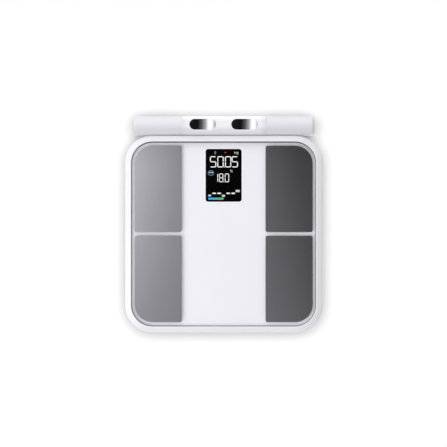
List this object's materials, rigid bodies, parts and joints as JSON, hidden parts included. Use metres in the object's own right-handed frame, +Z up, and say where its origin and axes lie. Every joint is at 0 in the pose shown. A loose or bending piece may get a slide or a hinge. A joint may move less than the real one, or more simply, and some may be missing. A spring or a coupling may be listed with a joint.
{
  "type": "digital bathroom scale",
  "caption": "Square glass-topped body composition scale with metal foot electrodes, a black display and a pull-out handle bar with thumb electrodes docked at the rear.",
  "frame": {"origin": "on the floor, at the middle of the box round the whole scale with its handle docked", "axes": "+Z up, +Y towards the docked handle at the rear, +X to the right of someone standing on it"},
  "size_m": [0.3, 0.3292, 0.034],
  "materials": {
    "white_gloss": "smooth moulded, soft gloss",
    "white_matt": "fine spark texture",
    "clear_glass": "polished toughened glass",
    "white_print": "screen-printed white",
    "foam_tape": "closed-cell foam",
    "seal_grey": "matt soft seal",
    "foot_electrode": "satin metal film",
    "display_black": "black display with white, teal, red, blue and green segments",
    "flex_amber": "polyimide film",
    "board_green": "solder mask",
    "chip_black": "moulded resin",
    "button_grey": "fine texture",
    "lead_wire": "soft sleeve",
    "nickel": "nickel plate",
    "reel_plastic": "natural acetal",
    "bright_steel": "zinc plate",
    "spring_steel": "blued strip",
    "bush_grey": "smooth acetal",
    "cell_steel": "stamped plate",
    "cell_wrap": "plain wrap, bare metal ends",
    "cup_grey": "fine texture",
    "pad_rubber": "matt",
    "spine_aluminium": "drawn tube",
    "handle_white": "smooth moulded",
    "grip_white": "fine soft texture",
    "finger_electrode": "plated, satin",
    "thumb_electrode": "polished plate"
  },
  "bodies": {
    "platform": {"base_tray": "white_matt", "battery_1": "cell_wrap", "battery_2": "cell_wrap", "battery_3": "cell_wrap", "battery_4": "cell_wrap", "battery_contacts_front": "nickel", "battery_contacts_rear": "nickel", "board_components": "chip_black", "body_screws": "bright_steel", "cord_outlet_bush": "bush_grey", "display_flex": "flex_amber", "display_holder": "white_matt", "display_module": "display_black", "dock_magnets": "nickel", "electrode_left_heel": "foot_electrode", "electrode_left_toe": "foot_electrode", "electrode_right_heel": "foot_electrode", "electrode_right_toe": "foot_electrode", "foot_cup_front_left": "cup_grey", "foot_cup_front_right": "cup_grey", "foot_cup_rear_left": "cup_grey", "foot_cup_rear_right": "cup_grey", "foot_pad_front_left": "pad_rubber", "foot_pad_front_right": "pad_rubber", "foot_pad_rear_left": "pad_rubber", "foot_pad_rear_right": "pad_rubber", "glass_back_print": "white_print", "glass_bonding_tape": "foam_tape", "glass_edge_seal": "seal_grey", "glass_platform": "clear_glass", "inner_screws": "bright_steel", "load_cell_front_left": "cell_steel", "load_cell_front_right": "cell_steel", "load_cell_leads": "lead_wire", "load_cell_rear_left": "cell_steel", "load_cell_rear_right": "cell_steel", "main_board": "board_green", "reel_axle": "bright_steel", "reel_bridge": "reel_plastic", "reel_spring": "spring_steel", "top_frame": "white_gloss", "unit_switch": "chip_black"},
    "handle": {"end_cap_left": "grip_white", "end_cap_right": "grip_white", "finger_electrode_left": "finger_electrode", "finger_electrode_right": "finger_electrode", "grip_left": "grip_white", "grip_right": "grip_white", "handle_board": "board_green", "handle_lid": "handle_white", "handle_magnets": "nickel", "handle_screws": "bright_steel", "handle_spine": "spine_aluminium", "handle_tub": "handle_white", "thumb_electrode_left": "thumb_electrode", "thumb_electrode_right": "thumb_electrode", "cord_inlet_bush": "bush_grey"},
    "reel": {"reel_drum": "reel_plastic"},
    "battery_door": {"battery_door": "white_matt"},
    "unit_button": {"unit_button": "button_grey"}
  },
  "joints": [
    {"name": "handle_pull", "type": "slide", "parent": "platform", "child": "handle", "axis": [0, 1, 0], "range_m": [0, 0.15], "stiffness_N_per_m": 12, "springref_m": -0.12},
    {"name": "reel_spin", "type": "hinge", "parent": "platform", "child": "reel", "pos_m": [-0.02, 0.0834, 0.0083], "axis": [0, 0, 1], "range_deg": [0, 432], "deforming": ["reel_spring"]},
    {"name": "battery_door_hinge", "type": "hinge", "parent": "platform", "child": "battery_door", "pos_m": [0, -0.0519, 0.0062], "axis": [1, 0, 0], "range_deg": [0, 95]},
    {"name": "unit_button_press", "type": "slide", "parent": "platform", "child": "unit_button", "axis": [0, 0, 1], "range_m": [0, 0.0008], "stiffness_N_per_m": 500}
  ],
  "couplings": [
    {"joint": "reel_spin", "follows": "handle_pull", "rad_per_m": 50}
  ]
}
